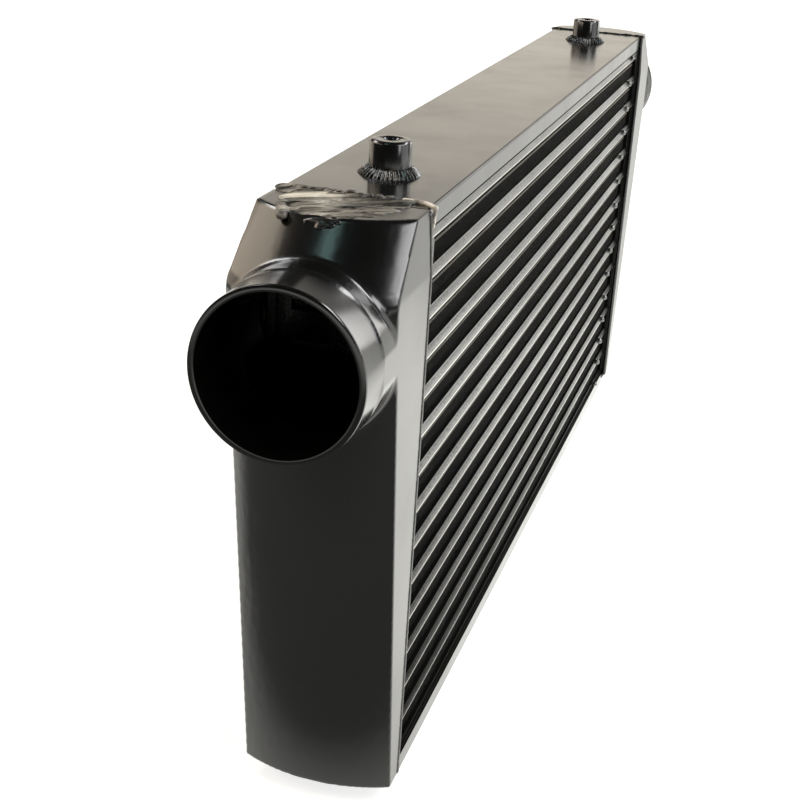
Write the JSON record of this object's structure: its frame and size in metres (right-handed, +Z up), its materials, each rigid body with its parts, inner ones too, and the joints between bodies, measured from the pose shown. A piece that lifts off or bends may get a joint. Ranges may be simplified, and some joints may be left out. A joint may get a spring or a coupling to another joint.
{
  "type": "intercooler",
  "caption": "Bar-and-plate charge-air cooler: corrugated-fin core between hollow cast end tanks with round hose stubs near the top, and threaded mounting bosses on the top plate.",
  "frame": {"origin": "middle of the core's underside, on the surface that the cooler stands on", "axes": "+X along the core from the left tank to the right tank, +Y through the core in the direction of the cooling air, +Z up"},
  "size_m": [0.78, 0.076, 0.3133],
  "materials": {
    "core_paint": "gloss",
    "fin_paint": "satin",
    "bare_aluminium": "satin",
    "tank_paint": "gloss",
    "weld_paint": "gloss",
    "boss_paint": "gloss"
  },
  "bodies": {
    "root": {"top_side_plate": "core_paint", "bottom_side_plate": "core_paint", "front_bar_01": "core_paint", "back_bar_01": "core_paint", "front_bar_02": "core_paint", "back_bar_02": "core_paint", "front_bar_03": "core_paint", "back_bar_03": "core_paint", "front_bar_04": "core_paint", "back_bar_04": "core_paint", "front_bar_05": "core_paint", "back_bar_05": "core_paint", "front_bar_06": "core_paint", "back_bar_06": "core_paint", "front_bar_07": "core_paint", "back_bar_07": "core_paint", "front_bar_08": "core_paint", "back_bar_08": "core_paint", "front_bar_09": "core_paint", "back_bar_09": "core_paint", "front_bar_10": "core_paint", "back_bar_10": "core_paint", "front_bar_11": "core_paint", "back_bar_11": "core_paint", "front_bar_12": "core_paint", "back_bar_12": "core_paint", "front_bar_13": "core_paint", "back_bar_13": "core_paint", "front_bar_14": "core_paint", "back_bar_14": "core_paint", "front_bar_15": "core_paint", "back_bar_15": "core_paint", "cooling_fin_01": "fin_paint", "cooling_fin_02": "fin_paint", "cooling_fin_03": "fin_paint", "cooling_fin_04": "fin_paint", "cooling_fin_05": "fin_paint", "cooling_fin_06": "fin_paint", "cooling_fin_07": "fin_paint", "cooling_fin_08": "fin_paint", "cooling_fin_09": "fin_paint", "cooling_fin_10": "fin_paint", "cooling_fin_11": "fin_paint", "cooling_fin_12": "fin_paint", "cooling_fin_13": "fin_paint", "cooling_fin_14": "fin_paint", "parting_sheets": "core_paint", "left_end_bars": "core_paint", "right_end_bars": "core_paint", "charge_turbulators": "bare_aluminium", "left_end_tank": "tank_paint", "right_end_tank": "tank_paint", "left_tank_weld": "weld_paint", "right_tank_weld": "weld_paint", "left_boss_weld": "weld_paint", "right_boss_weld": "weld_paint", "left_boss": "boss_paint", "right_boss": "boss_paint"}
  },
  "joints": []
}
